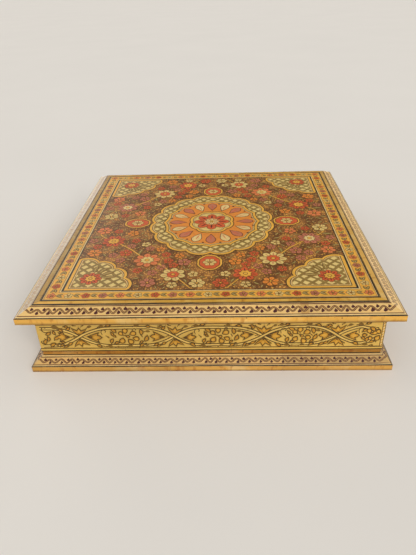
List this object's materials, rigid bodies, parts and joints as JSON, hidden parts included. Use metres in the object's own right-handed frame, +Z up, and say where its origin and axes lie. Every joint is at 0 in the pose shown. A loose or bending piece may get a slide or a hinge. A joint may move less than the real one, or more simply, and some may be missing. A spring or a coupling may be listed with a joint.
{
  "type": "painted bone box with hinged lid",
  "caption": "Low rectangular wooden box faced with painted bone plaques, on a sloping plinth, with an overhanging bevelled lid hinged at the back and a velvet lining.",
  "frame": {"origin": "centre of the underside, on the surface that the box stands on", "axes": "+Z up, +Y towards the back where the hinges are, +X to the right seen from the front; lid shut"},
  "size_m": [0.2, 0.212, 0.041],
  "materials": {
    "wood": "satin",
    "bone": "gloss",
    "gold_bone": "gloss",
    "amber_bone": "gloss",
    "velvet": "matte",
    "brass": "satin"
  },
  "bodies": {
    "base": {"bottom_board": "wood", "front_wall": "wood", "right_wall": "wood", "back_wall": "wood", "left_wall": "wood", "front_plinth": "wood", "right_plinth": "wood", "back_plinth": "wood", "left_plinth": "wood", "front_wall_plaques": "bone", "right_wall_plaques": "bone", "back_wall_plaques": "bone", "left_wall_plaques": "bone", "front_plinth_plaques": "bone", "right_plinth_plaques": "bone", "back_plinth_plaques": "bone", "left_plinth_plaques": "bone", "front_fillet": "amber_bone", "right_fillet": "amber_bone", "back_fillet": "amber_bone", "left_fillet": "amber_bone", "front_base_rim": "gold_bone", "right_base_rim": "gold_bone", "back_base_rim": "gold_bone", "left_base_rim": "gold_bone", "floor_lining": "velvet", "front_lining": "velvet", "right_lining": "velvet", "back_lining": "velvet", "left_lining": "velvet", "left_hinge_base_leaf": "brass", "right_hinge_base_leaf": "brass", "left_hinge_pin": "brass", "right_hinge_pin": "brass", "base_hinge_screws": "brass"},
    "lid": {"lid_board": "wood", "lid_panel_plaques": "bone", "front_lid_bevel": "bone", "right_lid_bevel": "bone", "back_lid_bevel": "bone", "left_lid_bevel": "bone", "front_lid_border": "gold_bone", "right_lid_border": "gold_bone", "back_lid_border": "gold_bone", "left_lid_border": "gold_bone", "front_lid_rim": "gold_bone", "right_lid_rim": "gold_bone", "back_lid_rim": "gold_bone", "left_lid_rim": "gold_bone", "lid_lining": "velvet", "left_hinge_lid_leaf": "brass", "right_hinge_lid_leaf": "brass", "lid_hinge_screws": "brass"}
  },
  "joints": [
    {"name": "lid_hinge", "type": "hinge", "parent": "base", "child": "lid", "pos_m": [0, 0.1007, 0.0336], "axis": [-1, 0, 0], "range_deg": [0, 105]}
  ]
}
